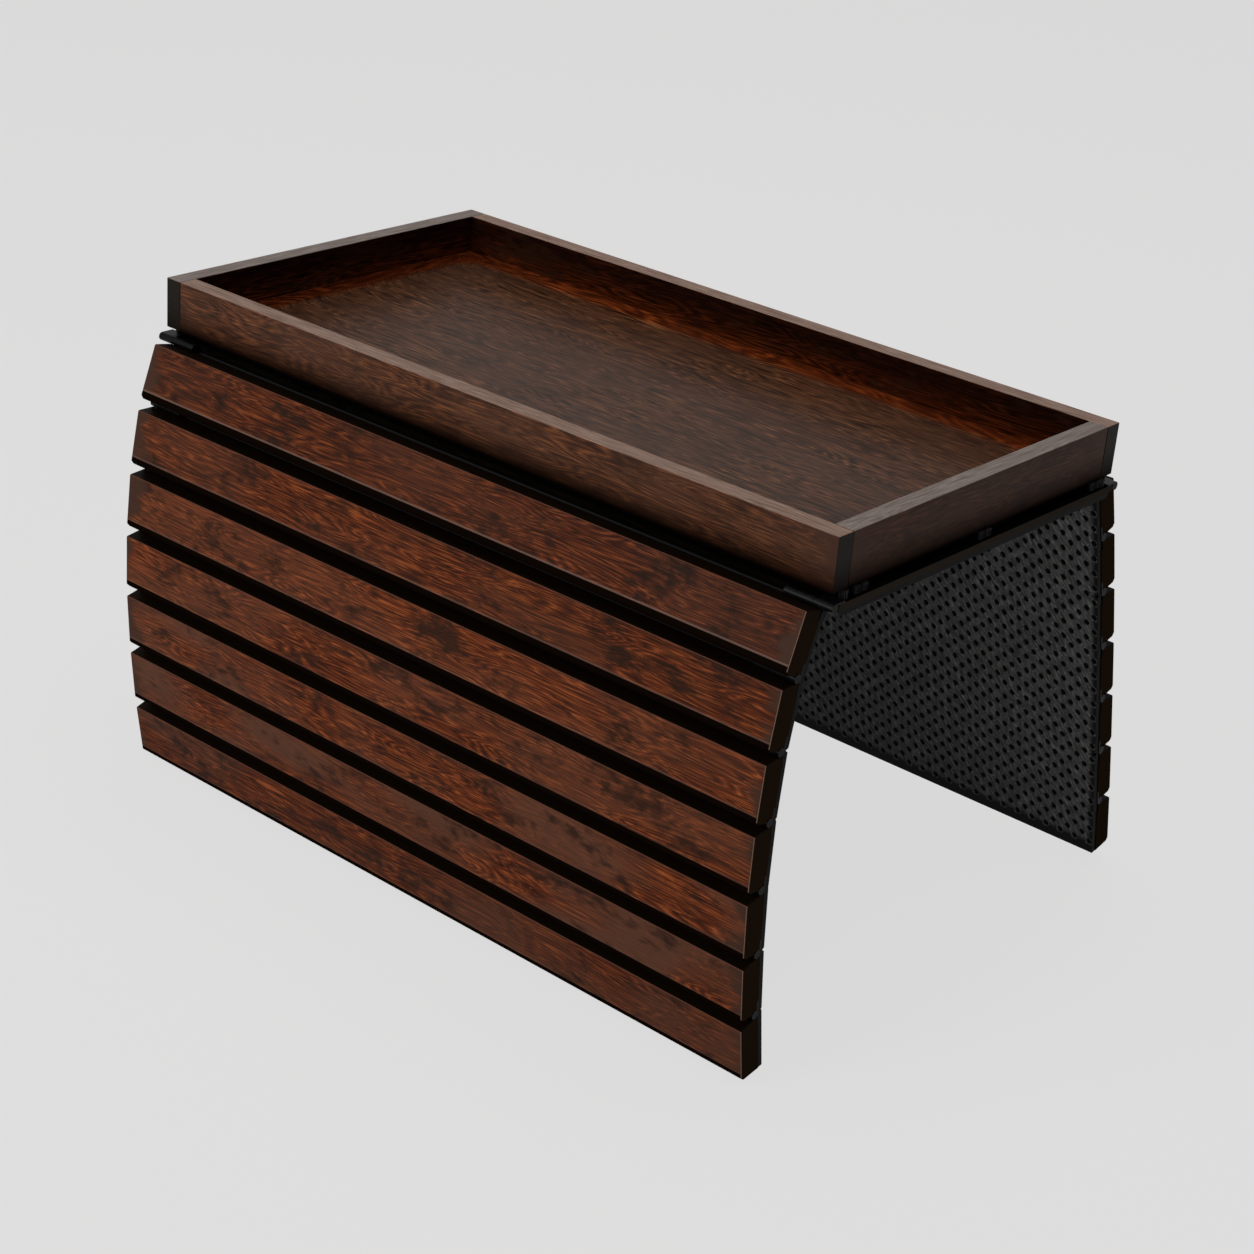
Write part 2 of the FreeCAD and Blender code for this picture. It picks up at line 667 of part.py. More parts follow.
def make_slat_hinges(wing, number):
    """The hinge leaves and screws on one slat, and the pins of the joint at its foot."""
    top_leaf = first_leaf if number == 1 else slat_leaf
    top_length = "first_knuckle_length" if number == 1 else "knuckle_length"
    copies = [(top_leaf, place_text(start, 0, 0)) for start in top_leaf_starts(number)]
    if number < SLATS_PER_WING:
        for start in foot_leaf_starts():
            end = f"{start} + knuckle_length"
            copies.append((slat_leaf, place_text(end, 0, "-slat_pitch", UPSIDE_DOWN)))
        for start in (f"-{SLAT_END}", HINGE_START):
            copies.append((slat_pin, place_text(start, 0, "-slat_pitch")))
    for across, up in slat_screw_places(number):
        copies.append((leaf_screw, place_text(across, "barrel_radius", up)))
    add_copies(f"{wing}_hinges_{number}", copies, slat_place(wing, number))


def make_board_hinges(wing):
    """The hinge leaves on the base board, their screws, and the pins that carry the first slat."""
    flat = "rotation(vector(1; 0; 0); 90)"
    copies = []
    for side in (-1, 1):
        start = board_leaf_start(side)
        copies.append((board_leaf, place_text(start, 0, 0, flat)))
        pin_start = f"-{BOARD_HALF_X}" if side < 0 else FIRST_KNUCKLE_START
        copies.append((board_pin, place_text(pin_start, 0, 0)))
        for share in LEAF_SCREW_SHARES:
            copies.append((board_leaf_screw, place_text(
                f"{start} + board_knuckle_length * {share}", f"leaf_length * {LEAF_SCREW_REACH_SHARE}",
                "barrel_radius", flat)))
    if wing == "front":
        place = place_text(0, f"-{HINGE_OUT}", HINGE_UP)
    else:
        place = place_text(0, HINGE_OUT, HINGE_UP, "rotation(vector(0; 0; 1); 180)")
    add_copies(f"{wing}_board_hinges", copies, place)


for wing in REST_TILTS:
    make_board_hinges(wing)
    for number in range(1, SLATS_PER_WING + 1):
        make_slat(wing, number)
        make_slat_mat(wing, number)
        make_slat_hinges(wing, number)
doc.recompute()

# Every object has to be sound before anything is written
for item in doc.Objects:
    if {"Invalid", "Error"} & set(item.State):
        raise RuntimeError(f"{item.Label} failed: {item.State}")
for node in nodes:
    if node.Shape.isNull() or not node.Shape.isValid():
        raise RuntimeError(f"{node.Label} has no sound shape")

os.makedirs("parts", exist_ok=True)
for node in nodes:
    node.Shape.exportStep(f"parts/{node.Label}.step")
print(len(nodes), "nodes written")
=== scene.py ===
import math

import bpy
from mathutils import Matrix, Vector


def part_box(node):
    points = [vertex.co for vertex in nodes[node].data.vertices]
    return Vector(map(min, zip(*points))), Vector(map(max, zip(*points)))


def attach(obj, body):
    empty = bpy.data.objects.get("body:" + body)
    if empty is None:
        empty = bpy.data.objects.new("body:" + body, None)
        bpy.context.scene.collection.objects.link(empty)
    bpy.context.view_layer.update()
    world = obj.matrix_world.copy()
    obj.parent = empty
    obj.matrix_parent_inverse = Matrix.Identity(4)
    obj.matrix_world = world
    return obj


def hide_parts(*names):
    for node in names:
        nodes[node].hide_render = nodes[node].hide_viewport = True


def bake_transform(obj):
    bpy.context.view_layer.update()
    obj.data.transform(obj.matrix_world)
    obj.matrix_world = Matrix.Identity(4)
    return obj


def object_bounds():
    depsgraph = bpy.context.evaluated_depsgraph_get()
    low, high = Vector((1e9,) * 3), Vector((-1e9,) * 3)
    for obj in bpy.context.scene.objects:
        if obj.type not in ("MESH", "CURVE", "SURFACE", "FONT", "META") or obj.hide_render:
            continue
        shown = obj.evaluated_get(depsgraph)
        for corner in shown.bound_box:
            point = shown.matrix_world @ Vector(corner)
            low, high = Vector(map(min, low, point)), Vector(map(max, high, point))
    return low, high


# A wooden sofa arm tray with a hinged wing of slats on each side. The rails, slats, boards and hinges are
# the solid model with finishes on them. The dimpled mats, the rubber blocks and the ridged posts are
# modelled here. Lengths are millimetres, and MM turns them to metres.

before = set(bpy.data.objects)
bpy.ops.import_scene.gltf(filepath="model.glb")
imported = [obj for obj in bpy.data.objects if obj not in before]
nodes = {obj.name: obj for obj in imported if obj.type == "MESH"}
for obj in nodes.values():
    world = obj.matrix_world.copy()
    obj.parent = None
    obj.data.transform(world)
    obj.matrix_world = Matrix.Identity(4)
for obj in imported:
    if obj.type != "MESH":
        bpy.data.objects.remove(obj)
cad_low, cad_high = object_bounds()

MM = 0.001
UP = (0, 0, 1)
WINGS = ("front", "back")
SLATS = range(1, 8)
INWARD = {"front": 1, "back": -1}

# Marks in the walnut's figure, as their length along the grain and their width. Real pores are about 0.2
# wide, and all fine marks are drawn wider than they are, so that they show.
WAVE_MARK = (120.0, 24.0)
RING_MARK = (110.0, 11.0)
PORE_MARK = (30.0, 0.65)
FLECK_MARK = (40.0, 3.5)
HAIR_MARK = (60.0, 0.55)
LINE_MARK = (40.0, 0.45)
FADE_MARK = (97.143, 42.857)
PATCH_MARK = (34.0, 15.0)
SPECK_MARK = (9.0, 5.0)

# How far the waves sway the grain, how many rings the swell crosses, and how much each mark counts
WAVE_SWAY = 12.0
RING_COUNT = 36
RING_SHARE = 0.2
PORE_SHARE = 0.48
FLECK_SHARE = 0.24
SPECK_SHARE = 0.6

# Where the tones from dark to bright stand, how deep the pores are and how far they change the roughness,
# and how far apart two boards lie in the log
TONE_STOP_SHARES = (0.35, 0.44, 0.52, 0.62)
PORE_RELIEF = 0.2
SHEEN_SPREAD = 0.06
BOARD_STEP = (137.0, 41.0, 23.0)

# How squarely a surface is cut across the grain where the look of a cut end begins, and where it is full
CUT_END_SHARES = (0.7, 0.9)

# How far the stain soaks in from a slat's and a rail's cut ends, and how ragged that edge is
SLAT_SOAK = 10.0
RAIL_SOAK = 22.0
SOAK_RAG = 60.0

# How high the painted shade along the foot of a slat reaches, which stands for the shadow in the joint, the
# height of the painted highlight line above it, and over what height one turns to the other
FOOT_SHADE = 4.6
FOOT_HIGHLIGHT = 1.0
FOOT_FADE = 0.4

# How light each slat is, as painted shade that darkens the slats which the lamps light more, how far dull
# patches take it over, and how strongly the painted highlight line at its foot shows, from the top slat down
SLAT_SHADE_SHARES = (0.65, 0.82, 1.0, 1.0, 0.98, 0.92, 0.8)
SLAT_DULL_SHARES = (0.3, 0.3, 0.3, 0.4, 0.75, 0.85, 0.6)
SLAT_HIGHLIGHT_SHARES = (0.5, 0.28, 0.2, 0.12, 0.12, 0.1, 0.1)

# The heights, as shares of a rail's, between which the painted shade at its foot fades out, its inside turns
# from a painted red-brown glow to painted shade that is nearly black, and its wax begins. The others are
# shares of the lining's height, the first for the painted glow in its cove.
RAIL_FOOT_SHADE_SHARES = (0.02, 0.5)
RAIL_GLOW_TO_SHADE_SHARES = (0.2, 0.75)
RAIL_WAX_SHARES = (0.0, 0.6)
COVE_PAINTED_GLOW_SHARES = (0.1, 0.45)
COVE_WAX_SHARES = (0.1, 0.2)

# Streaks and specks in the mat's rubber, the streaks' slant in degrees, the rubbed spots on coats, and how
# far these change the roughness
STREAK_MARK = (0.9, 6.0)
DUST_MARK = (1.8, 1.8)
STREAK_SLANT = 35
RUB_MARK = (3.0, 3.0)
RUB_SPREAD = 0.08

# Dimpled mat
MAT_CELL = 5.25
MAT_DEPTH = 3.4
DIMPLE_SIDE = 4.3
DIMPLE_CORNER = 1.25
DIMPLE_CORNERS = 8
DIMPLE_TAPER = 0.75
DIMPLE_DEPTH = 1.4
DIMPLE_STRETCH_SHARES = (0.98, 1.0)
FLEX_REACH = 3.0
NICK_WIDTH = 2.4
NICK_DEPTH = 2.2

# How near a point lies to count as on an edge, a hem or a dimple, as shares of a cell, or in the middle of a
# nick, as a share of its width, and how squarely a face looks a way to count as facing it
EDGE_SHARE = 0.01
HEM_SHARE = 0.51
DIMPLE_SHARE = 0.45
NICK_SHARE = 0.1
FACING_SHARE = 0.5

# Ridged posts and rubber blocks between the tray and its board, their angles in degrees
POST_RIDGES = 12
POST_GROOVE = 0.5
POST_GROOVE_EDGE = 0.08
POST_EASE = 0.3
BLOCK_ROUND = 0.8
BLOCK_ROUND_STEPS = 3
BLOCK_RIM = 1.1
BLOCK_RECESS = 0.5
BLOCK_REACH = 9.0
SHARP_ANGLE = 60
SMOOTH_ANGLE = 40

# Studio: the lamps as a place, an aim, a side and watts
CAMERA_PLACE = Vector((902.2, -1084.3, 516.4))
CAMERA_AIM = Vector((47.8, -36.9, -105.5))
CAMERA_ROLL = 4.794
CAMERA_LENS = 74.23
FLOOR_DROP = 3.0
FLOOR_SIDE = 40000.0
FLOOR_GLOW_SHARE = 0.93
SURROUND_LIGHT = 0.2
STUDIO_PALE = "#dfdede"
LAMPS = {
    "key_light": (Vector((-800, -2200, 800)), Vector((0, 0, -50)), 1600, 52),
    "top_light": (Vector((0, 200, 2000)), Vector((0, 0, 0)), 1600, 26),
    "side_light": (Vector((1900, -700, 600)), Vector((0, 0, -100)), 1000, 4),
}


def linear(text, share=1.0):
    """A hex colour as the linear values that shaders take, or a share of its light."""
    parts = [int(text[i:i + 2], 16) / 255 for i in (1, 3, 5)]
    lights = [p / 12.92 if p <= 0.04045 else ((p + 0.055) / 1.055) ** 2.4 for p in parts]
    return tuple(light * share for light in lights) + (1.0,)


def add(tree, kind, inputs=None, **settings):
    """Adds a node with its settings, its values and its links."""
    made = tree.nodes.new(kind)
    for key, value in settings.items():
        setattr(made, key, value)
    for key, value in (inputs or {}).items():
        if isinstance(value, bpy.types.NodeSocket):
            tree.links.new(value, made.inputs[key])
        else:
            made.inputs[key].default_value = value
    return made


def set_stops(ramp, stops, share=1.0):
    """Gives a colour ramp its stops, as pairs of a place and a hex colour, or a share of their light."""
    while len(ramp.elements) < len(stops):
        ramp.elements.new(1.0)
    for element, (place, colour) in zip(ramp.elements, stops):
        element.position = place
        element.color = linear(colour, share)


def new_material(name):
    """An empty material and its tree, with only the output node."""
    material = bpy.data.materials.new(name)
    material.use_nodes = True
    tree = material.node_tree
    tree.nodes.clear()
    return material, tree, add(tree, "ShaderNodeOutputMaterial")


# Aids to the finishes


def place_in_piece(tree, turn=(0, 0, 0), shift=(0, 0, 0)):
    """Where a point lies in its own piece, in millimetres, turned and shifted."""
    place = add(tree, "ShaderNodeTexCoord").outputs["Object"]
    return add(tree, "ShaderNodeMapping", {
        "Vector": place, "Rotation": turn, "Scale": (1 / MM,) * 3, "Location": shift}).outputs[0]


def marks(tree, place, size, detail, rough=0.5):
    """Random marks of a given length and width, as a field about one half and as random colours."""
    length, width = size
    scaled = add(tree, "ShaderNodeMapping", {
        "Vector": place, "Scale": (1 / length, 1 / width, 1 / width)}).outputs[0]
    return add(tree, "ShaderNodeTexNoise", {
        "Vector": scaled, "Scale": 1.0, "Detail": detail, "Roughness": rough}).outputs


def blended(tree, value, low, high, first, second, most=1.0):
    """The first colour where the value is low, turning to the second, or to most of it, where it is high."""
    share = add(tree, "ShaderNodeMapRange", {
        "Value": value, "From Min": low, "From Max": high, "To Max": most}).outputs[0]
    return add(tree, "ShaderNodeMix", {0: share, 6: first, 7: second}, data_type="RGBA").outputs[2]


def toward(tree, way):
    """How squarely the surface looks a given way, in the piece's own frame, from -1 to 1."""
    normal = add(tree, "ShaderNodeTexCoord").outputs["Normal"]
    return add(tree, "ShaderNodeVectorMath", {0: normal, 1: way}, operation="DOT_PRODUCT").outputs["Value"]


def ends_on(tree, along):
    """How squarely the surface is cut across the grain, from 0 to 1."""
    way = (1, 0, 0) if along == "X" else (0, 1, 0)
    return add(tree, "ShaderNodeMath", {0: toward(tree, way)}, operation="ABSOLUTE").outputs[0]


def rise_on(tree, name):
    """How high a point lies on a node of the solid model, from 0 at its foot to 1 at its top."""
    place = add(tree, "ShaderNodeTexCoord").outputs["Object"]
    height = add(tree, "ShaderNodeSeparateXYZ", {0: place}).outputs["Z"]
    low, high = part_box(name)
    return add(tree, "ShaderNodeMapRange", {
        "Value": height, "From Min": low.z, "From Max": high.z}).outputs[0]


# Stained walnut


def grain_figure(tree, seed, along, tones, smoke, share=1.0, fade=0.45):
    """The figure of flat-sawn walnut under a dark stain, as a colour, as the height of its pores and as its
    patches. Growth rings cut at a slant draw fine flames, the pores break them into red-brown flecks, and the
    stain pools in smoky patches and fades in dull ones. The tones are dark, base, warm, bright and dull, the
    share dims them all, the smoke is how dark the smoky patches get, and the fade is how far the dull ones
    take over."""
    turn = (0, 0, math.radians(90)) if along == "Y" else (0, 0, 0)
    grain = place_in_piece(tree, turn, [seed * step for step in BOARD_STEP])
    # Slow waves that sway the grain by a few millimetres
    wave = marks(tree, grain, WAVE_MARK, 1.0)["Color"]
    centred = add(tree, "ShaderNodeVectorMath", {0: wave, 1: (0.5,) * 3}, operation="SUBTRACT").outputs[0]
    sway = add(tree, "ShaderNodeVectorMath", {0: centred, 1: (0, WAVE_SWAY, WAVE_SWAY)},
               operation="MULTIPLY").outputs[0]
    bent = add(tree, "ShaderNodeVectorMath", {0: grain, 1: sway}, operation="ADD").outputs[0]
    # Growth rings, as the contour lines of a stretched swell, with pores and broader flecks
    swell = marks(tree, bent, RING_MARK, 1.5)["Fac"]
    count = add(tree, "ShaderNodeMath", {0: swell, 1: RING_COUNT}, operation="MULTIPLY").outputs[0]
    rings = add(tree, "ShaderNodeMath", {0: count, 1: 1.0}, operation="PINGPONG").outputs[0]
    pores = marks(tree, bent, PORE_MARK, 2.0, 0.6)["Fac"]
    flecks = marks(tree, bent, FLECK_MARK, 3.0, 0.55)["Fac"]
    mixed = add(tree, "ShaderNodeMath", {0: rings, 1: RING_SHARE}, operation="MULTIPLY").outputs[0]
    for field, part in ((pores, PORE_SHARE), (flecks, FLECK_SHARE)):
        mixed = add(tree, "ShaderNodeMath", {0: field, 1: part, 2: mixed},
                    operation="MULTIPLY_ADD").outputs[0]
    tone = add(tree, "ShaderNodeValToRGB", {"Fac": mixed})
    set_stops(tone.color_ramp, list(zip(TONE_STOP_SHARES, tones)), share)
    dark, _, _, bright, dull = (linear(colour, share) for colour in tones)
    # Hairlines of bright early wood, and fine dark lines, where the pores have drunk the stain
    hair = marks(tree, bent, HAIR_MARK, 1.0)["Fac"]
    lined = blended(tree, hair, 0.58, 0.72, tone.outputs["Color"], bright, 0.75)
    line = marks(tree, bent, LINE_MARK, 0.0)["Fac"]
    scored = blended(tree, line, 0.52, 0.66, lined, dark, 0.65)
    # Dull patches a hand wide, where the stain has faded, and smoky mottled ones, where it lies thicker
    broad = marks(tree, grain, FADE_MARK, 1.0)["Fac"]
    faded = blended(tree, broad, 0.4, 0.6, scored, dull, fade)
    patch = marks(tree, grain, PATCH_MARK, 4.0)["Fac"]
    speck = marks(tree, bent, SPECK_MARK, 3.0)["Fac"]
    mottle = add(tree, "ShaderNodeMath", {0: speck, 1: SPECK_SHARE, 2: patch},
                 operation="MULTIPLY_ADD").outputs[0]
    figure = blended(tree, mottle, 0.82, 1.0, faded, linear("#22140d", share), smoke)
    return figure, pores, patch


def oiled(tree, output, colour, pores, rough, gloss):
    """Closes a wood with its oil: pores that break the sheen a little. The gloss is a number or a field."""
    sheen = add(tree, "ShaderNodeMapRange", {
        "Value": pores, "From Min": 0.3, "From Max": 0.7,
        "To Min": rough + SHEEN_SPREAD, "To Max": rough - SHEEN_SPREAD}).outputs[0]
    relief = add(tree, "ShaderNodeBump", {
        "Height": pores, "Strength": 0.3, "Distance": PORE_RELIEF * MM}).outputs[0]
    wood = add(tree, "ShaderNodeBsdfPrincipled", {
        "Base Color": colour, "Roughness": sheen, "Normal": relief, "IOR": 1.5, "Specular IOR Level": gloss})
    tree.links.new(wood.outputs[0], output.inputs["Surface"])


def soaked(tree, along, end, reach, colour, patch):
    """A wood's colour with the stain soaked in from its two cut ends, dark and ragged."""
    place = add(tree, "ShaderNodeTexCoord").outputs["Object"]
    run = add(tree, "ShaderNodeSeparateXYZ", {0: place}).outputs[along]
    distance = add(tree, "ShaderNodeMath", {0: run}, operation="ABSOLUTE").outputs[0]
    ragged = add(tree, "ShaderNodeMath", {0: patch, 1: SOAK_RAG * MM, 2: distance},
                 operation="MULTIPLY_ADD").outputs[0]
    middle = SOAK_RAG / 2 * MM
    return blended(tree, ragged, end - reach * MM + middle, end + middle, colour, linear("#36231a"))


def slat_walnut(name, seed, face, down, foot, share, fade, plain):
    """A slat: only its face is rubbed back to show the figure. The eased edges at the face's head and ends
    carry a painted highlight, paler towards the ends, and those that look down painted shade. Along the foot
    of the face a band of painted shade stands for the shadow in the joint, under a painted highlight line.
    The edges inside the joints and the back are painted nearly black as shade, and the cut ends are dark with
    stain. The foot is how far the slat reaches the way it hangs, and plain is how strongly the painted
    highlight line shows."""
    material, tree, output = new_material(name)
    tones = ("#2b1209", "#4b210f", "#5e2a13", "#874723", "#4d3124")
    # A nearly black colour used as painted shade: along the foot of the face and on the eased edges that look
    # down
    painted_shade = linear("#0a0503")
    figure, pores, patch = grain_figure(tree, seed, "X", tones, 0.85, share, fade)
    wear_and_sheen = soaked(tree, "X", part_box("front_slat_1")[1].x, SLAT_SOAK, figure, patch)
    place = add(tree, "ShaderNodeTexCoord").outputs["Object"]
    drop = add(tree, "ShaderNodeVectorMath", {0: place, 1: down}, operation="DOT_PRODUCT").outputs["Value"]
    brink = foot - FOOT_SHADE * MM
    edge = brink - FOOT_HIGHLIGHT * MM
    fading = FOOT_FADE * MM
    # A pale painted highlight line along the foot of the face, for the light that its lower edge catches, and
    # below it a band of painted shade for the shadow in the joint
    lined = blended(tree, drop, edge - fading, edge, wear_and_sheen, linear("#6b564c"), plain)
    field = blended(tree, drop, brink - fading, brink, lined, painted_shade)
    looking = toward(tree, face)
    ending = ends_on(tree, "X")
    # The eased edges carry a painted highlight, paler towards the ends, and painted shade where they look
    # down. The edges inside the joints and the back are painted nearly black as shade.
    rim = blended(tree, ending, 0.2, 0.4, linear("#4d3024"), linear("#70594d"))
    painted_light = blended(tree, toward(tree, down), 0.1, 0.3, rim, painted_shade)
    eased = blended(tree, looking, 0.86, 0.97, painted_light, field)
    sides = blended(tree, looking, 0.3, 0.5, linear("#0b0502"), eased)
    colour = blended(tree, ending, *CUT_END_SHARES, sides, linear("#20170f"))
    # Dry, without gloss, at the cut ends and along the foot
    glosses = [add(tree, "ShaderNodeMapRange", {
        "Value": value, "From Min": low, "From Max": high, "To Min": 0.03, "To Max": 0.0}).outputs[0]
        for value, low, high in ((ending, *CUT_END_SHARES), (drop, brink - fading, brink))]
    gloss = add(tree, "ShaderNodeMath", dict(enumerate(glosses)), operation="MINIMUM").outputs[0]
    oiled(tree, output, colour, pores, 0.5, gloss)
    return material


def rail_walnut(name, seed, along, outward, share, painted_light):
    """A rail: darker stain than the slats', darkest towards its ends, and darker towards its foot by painted
    shade.
    On top it is greyed by a painted sheen. Inside the tray it is matt, with painted shade that is nearly
    black above and a painted red-brown glow below. The cut ends are black. The share is how light its outside
    is, a painted shade or light for each side, and the painted light colours are those on top."""
    material, tree, output = new_material(name)
    tones = ("#24120a", "#3b2216", "#482918", "#653c21", "#39251b")
    # Painted light inside the tray: the red-brown tones are a painted glow for light thrown back from the
    # floor, and the nearly black ones painted shade
    painted_glow_tones = ("#150602", "#2b0f05", "#451c09", "#61290d", "#260d04")
    painted_shade_tones = ("#0c0402", "#160804", "#1f0b05", "#2f1207", "#140703")
    figure, pores, patch = grain_figure(tree, seed, along, tones, 0.6, share)
    rise = rise_on(tree, "front_rail")
    long_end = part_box("front_rail")[1].x if along == "X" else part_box("right_rail")[1].y
    field = soaked(tree, along, long_end, RAIL_SOAK, figure, patch)
    # Painted shade on the outside, darkest at the foot
    outside = blended(tree, rise, *RAIL_FOOT_SHADE_SHARES, linear("#0b0402"), field)
    warm, dark = (grain_figure(tree, seed + 0.5, along, those, 0.5)[0] for those in (painted_glow_tones, painted_shade_tones))
    inside = blended(tree, rise, *RAIL_GLOW_TO_SHADE_SHARES, warm, dark)
    outer = toward(tree, outward)
    walls = blended(tree, outer, -0.5, 0.5, inside, outside)
    # A painted sheen on top: greyed colours that stand for the reflection of the pale surround
    wear_and_sheen = blended(tree, pores, 0.3, 0.7, *map(linear, painted_light))
    top_sheen = blended(tree, toward(tree, UP), 0.4, 0.8, walls, wear_and_sheen)
    colour = blended(tree, ends_on(tree, along), *CUT_END_SHARES, top_sheen, linear("#14100d"))
    # Waxed on the outside, and less towards the foot
    glosses = [add(tree, "ShaderNodeMapRange", {
        "Value": value, "From Min": low, "From Max": high, "To Max": 0.05}).outputs[0]
        for value, low, high in ((outer, -0.7, -0.3), (rise, *RAIL_WAX_SHARES))]
    gloss = add(tree, "ShaderNodeMath", dict(enumerate(glosses)), operation="MINIMUM").outputs[0]
    oiled(tree, output, colour, pores, 0.42, gloss)
    return material


def lining_walnut(name, seed):
    """The tray's lining: the floor is evenly stained and waxed, and the matt cove at its edge has a painted
    orange glow, which stands for light thrown back from the floor."""
    material, tree, output = new_material(name)
    tones = ("#180c06", "#352014", "#4d2f1e", "#734b30", "#3b271e")
    # A painted glow in the cove: brighter orange tones for light thrown back from the floor
    painted_cove_glow_tones = ("#240d05", "#431a0a", "#5f290e", "#793915", "#431a0a")
    figure, pores, _ = grain_figure(tree, seed, "X", tones, 0.5)
    along, across = (grain_figure(tree, seed, way, painted_cove_glow_tones, 0.3)[0] for way in ("X", "Y"))
    glow = blended(tree, ends_on(tree, "X"), 0.3, 0.5, along, across)
    rise = rise_on(tree, "tray_liner")
    colour = blended(tree, rise, *COVE_PAINTED_GLOW_SHARES, figure, glow)
    gloss = add(tree, "ShaderNodeMapRange", {
        "Value": rise, "From Min": COVE_WAX_SHARES[0], "From Max": COVE_WAX_SHARES[1],
        "To Min": 0.07, "To Max": 0.0}).outputs[0]
    oiled(tree, output, colour, pores, 0.42, gloss)
    return material


def hidden_wood(name, seed, tones, cut, rim):
    """Wood that is painted nearly black as the shade under the tray, such as the board and the floor panel,
    or not stained at all, such as the dowels. Its ends have the cut colour, and their upper eased edges carry
    a painted highlight in the rim's colour."""
    material, tree, output = new_material(name)
    figure, pores, _ = grain_figure(tree, seed, "X", tones, 0.0)
    ending = ends_on(tree, "X")
    # A painted highlight on the upper eased edges of the ends
    highlight_edge = add(tree, "ShaderNodeMath", {0: ending, 1: toward(tree, UP)}, operation="MULTIPLY").outputs[0]
    sides = blended(tree, ending, *CUT_END_SHARES, figure, linear(cut))
    colour = blended(tree, highlight_edge, 0.36, 0.48, sides, linear(rim))
    oiled(tree, output, colour, pores, 0.55, 0.0)
    return material


# Rubber and steel


def mat_rubber():
    """Moulded charcoal rubber: matt, brushed in the mould with faint slanting streaks and pale specks, and
    nearly black on the cut edges and hems, and in the dimples, where the black is painted shade."""
    material, tree, output = new_material("charcoal_mat_rubber")
    slanted = place_in_piece(tree, (0, math.radians(STREAK_SLANT), 0))
    tone = add(tree, "ShaderNodeValToRGB", {"Fac": marks(tree, slanted, STREAK_MARK, 3.0)["Fac"]})
    set_stops(tone.color_ramp, [(0.36, "#404040"), (0.54, "#5b5b5a"), (0.72, "#8c8c8b")])
    dust = marks(tree, slanted, DUST_MARK, 0.0)["Fac"]
    dusty = blended(tree, dust, 0.72, 0.82, tone.outputs["Color"], linear("#7c7c80"))
    # Nearly black where the mesh is marked: painted shade in the dimples, and the cut ends and hems
    shaded_dimples_and_edges = add(tree, "ShaderNodeAttribute", attribute_name="shaded_dimples_and_edges").outputs["Fac"]
    colour = blended(tree, shaded_dimples_and_edges, 0.05, 0.7, dusty, linear("#0a0a0b"))
    rubber = add(tree, "ShaderNodeBsdfPrincipled", {
        "Base Color": colour, "Roughness": 0.62, "IOR": 1.52, "Specular IOR Level": 0.05})
    tree.links.new(rubber.outputs[0], output.inputs["Surface"])
    return material


def rubbed_coat(name, colour, wear_and_sheen, rough, gloss, metallic=0.0):
    """A plain coat or moulding, a little rubbed, so that its tone and gloss vary over a few millimetres."""
    material, tree, output = new_material(name)
    rub = marks(tree, place_in_piece(tree), RUB_MARK, 4.0)["Fac"]
    tone = add(tree, "ShaderNodeValToRGB", {"Fac": rub})
    set_stops(tone.color_ramp, [(0.4, colour), (0.75, wear_and_sheen)])
    sheen = add(tree, "ShaderNodeMapRange", {
        "Value": rub, "To Min": rough - RUB_SPREAD, "To Max": rough + RUB_SPREAD}).outputs[0]
    coat = add(tree, "ShaderNodeBsdfPrincipled", {
        "Base Color": tone.outputs["Color"], "Roughness": sheen, "Specular IOR Level": gloss,
        "Metallic": metallic})
    tree.links.new(coat.outputs[0], output.inputs["Surface"])
    return material


# Coated hinges gleam dully, the posts' ridges catch more light, zinc is a pale metal, and blocks are matt
mat_finish = mat_rubber()
hinge_finish = rubbed_coat("black_coated_steel", "#040404", "#0c0b0b", 0.35, 0.06)
post_finish = rubbed_coat("black_post_steel", "#050505", "#121110", 0.42, 0.15)
screw_finish = rubbed_coat("zinc_plated_steel", "#8a8781", "#a5a29b", 0.35, 0.5, 1.0)
block_finish = rubbed_coat("black_block_rubber", "#040404", "#090909", 0.6, 0.05)


# Finishes on the solid model

# Each rail's seed, grain, outward way, how light it is, as painted light and shade that lighten the long
# rails and darken the end rails, and its painted sheen colours on top
LONG_TOP_SHEEN = ("#533b2f", "#876f62")
END_TOP_SHEEN = ("#4b3e37", "#7b706a")
RAILS = {
    "front": (1, "X", (0, -1, 0), 1.2, LONG_TOP_SHEEN),
    "back": (2, "X", (0, 1, 0), 1.2, LONG_TOP_SHEEN),
    "left": (3, "Y", (-1, 0, 0), 0.85, END_TOP_SHEEN),
    "right": (4, "Y", (1, 0, 0), 0.8, END_TOP_SHEEN),
}
LINING_SEED = 5

# Each hidden wood's name, seed, tones, cut ends and rim. The floor panel's and the board's nearly black tones
# are painted shade under the tray, and the board's pale rim a painted highlight.
FLOOR_SHADE_TONES = ("#040302", "#060403", "#080504", "#0c0805", "#060403")
BOARD_SHADE_TONES = ("#030202", "#050403", "#070605", "#0c0a08", "#050403")
BEECH_TONES = ("#9a7448", "#b08a5a", "#c09a68", "#cfae80", "#b08a5a")
HIDDEN_WOODS = {
    "tray_floor": ("walnut_floor_panel", 6, FLOOR_SHADE_TONES, "#080504", "#080504"),
    "base_board": ("walnut_base_board", 7, BOARD_SHADE_TONES, "#2b2621", "#81796f"),
    "corner_dowels": ("beech_dowel", 8, BEECH_TONES, "#b08a5a", "#b08a5a"),
}
SLAT_SEED = 11


